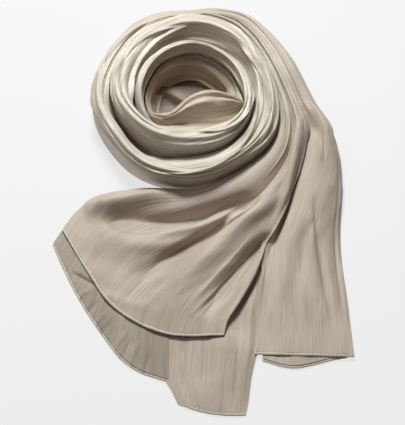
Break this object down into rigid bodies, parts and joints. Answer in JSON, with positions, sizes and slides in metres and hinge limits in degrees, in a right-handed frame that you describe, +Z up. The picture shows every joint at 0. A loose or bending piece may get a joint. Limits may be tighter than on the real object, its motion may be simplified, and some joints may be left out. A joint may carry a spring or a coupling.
{
  "type": "hijab headscarf",
  "caption": "Long satin headscarf lying flat: wound into a loose open coil with both ends spread out from it, with narrow overlocked hems.",
  "frame": {"origin": "centre of the bounding box, on the table plane the scarf lies on", "axes": "+Z up from the table, +Y towards the coil, +X towards the right end as the picture shows it"},
  "size_m": [0.351, 0.554, 0.0679],
  "materials": {
    "satin": "champagne satin crinkle weave",
    "satin_hidden": "the same satin, hidden layers",
    "hem": "overlocked satin hem"
  },
  "bodies": {
    "root": {"hidden_layers": "satin_hidden", "bight": "satin", "inner_turn": "satin", "middle_turn": "satin", "outer_turn": "satin", "left_tail_upper": "satin", "left_tail_under": "satin", "middle_fall": "satin", "right_tail_upper": "satin", "right_tail_under": "satin", "left_upper_hem": "hem", "left_under_hem": "hem", "middle_hem": "hem", "right_upper_hem": "hem", "right_under_hem": "hem"}
  },
  "joints": []
}
